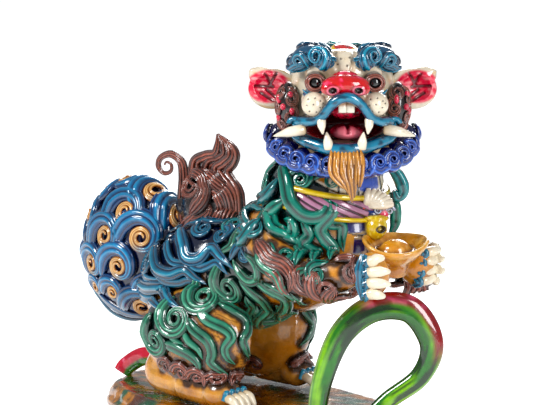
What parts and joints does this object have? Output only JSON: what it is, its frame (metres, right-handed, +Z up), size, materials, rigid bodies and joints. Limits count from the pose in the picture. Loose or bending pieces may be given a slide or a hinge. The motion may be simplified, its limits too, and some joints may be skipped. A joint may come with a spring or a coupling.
{
  "type": "guardian lion figure",
  "caption": "Glazed ceramic guardian lion with curled tail, open mouth and a ribbon, raised on its haunches over a low oval plinth.",
  "frame": {"origin": "centre of the plinth's flat underside", "axes": "+X is the way the lion's body points, +Y its left side, +Z up. The head is turned towards its right, 40 degrees from -Y towards +X."},
  "size_m": [0.2199, 0.0932, 0.1949],
  "materials": {
    "ochre_glaze": "high-gloss honey-ochre lead glaze, pooled darker in the hollows",
    "cream_glaze": "high-gloss cream glaze with fine dark specks",
    "turquoise_glaze": "high-gloss turquoise glaze",
    "blue_glaze": "high-gloss blue glaze running into turquoise",
    "green_glaze": "high-gloss emerald green glaze, nearly black in the grooves",
    "cobalt_glaze": "high-gloss cobalt blue glaze with paler raised lines",
    "brown_glaze": "glossy reddish brown glaze with pinkish ridges",
    "red_glaze": "high-gloss crimson glaze",
    "pink_glaze": "glossy rose pink glaze over cream",
    "black_glaze": "wet-looking black glaze",
    "yellow_glaze": "high-gloss yellow glaze with green accents",
    "leaf_green_glaze": "high-gloss leaf green glaze, edged in crimson",
    "bisque_clay": "brown glaze over coarse clay, bare under the foot"
  },
  "bodies": {
    "root": {"beard": "cobalt_glaze", "brocade_ball": "pink_glaze", "brow_left": "turquoise_glaze", "brow_right": "turquoise_glaze", "cheek_left": "brown_glaze", "cheek_right": "brown_glaze", "chest_plate": "cream_glaze", "collar_bell": "yellow_glaze", "collar_rosette": "cream_glaze", "collar_sash": "yellow_glaze", "crown_boss": "red_glaze", "ear_left": "pink_glaze", "ear_right": "pink_glaze", "eye_left": "black_glaze", "eye_right": "black_glaze", "flank_locks_left": "green_glaze", "flank_locks_right": "green_glaze", "foreleg_curls_left": "brown_glaze", "foreleg_curls_right": "brown_glaze", "foreleg_left": "ochre_glaze", "foreleg_right": "ochre_glaze", "front_claws_left": "cream_glaze", "front_claws_right": "cream_glaze", "goatee": "ochre_glaze", "head": "cream_glaze", "hind_claws_left": "cream_glaze", "hind_claws_right": "cream_glaze", "hind_leg_left": "ochre_glaze", "hind_leg_right": "ochre_glaze", "hock_curls_left": "brown_glaze", "hock_curls_right": "brown_glaze", "incisors": "cream_glaze", "ingot": "ochre_glaze", "lower_fang_left": "cream_glaze", "lower_fang_right": "cream_glaze", "lower_jaw": "cream_glaze", "lower_lip": "turquoise_glaze", "mane_left": "green_glaze", "mane_right": "green_glaze", "nape_locks": "turquoise_glaze", "nose": "red_glaze", "plinth": "bisque_clay", "ribbon_front": "leaf_green_glaze", "ribbon_rear": "red_glaze", "rump_locks_left": "blue_glaze", "rump_locks_right": "blue_glaze", "tail_fan": "blue_glaze", "tail_flame": "brown_glaze", "thigh_locks_left": "green_glaze", "thigh_locks_right": "green_glaze", "tongue": "red_glaze", "torso": "ochre_glaze", "tusk_left": "cream_glaze", "tusk_right": "cream_glaze", "upper_fang_left": "cream_glaze", "upper_fang_right": "cream_glaze", "upper_lip": "turquoise_glaze", "whisker_pad_left": "cream_glaze", "whisker_pad_right": "cream_glaze"}
  },
  "joints": []
}
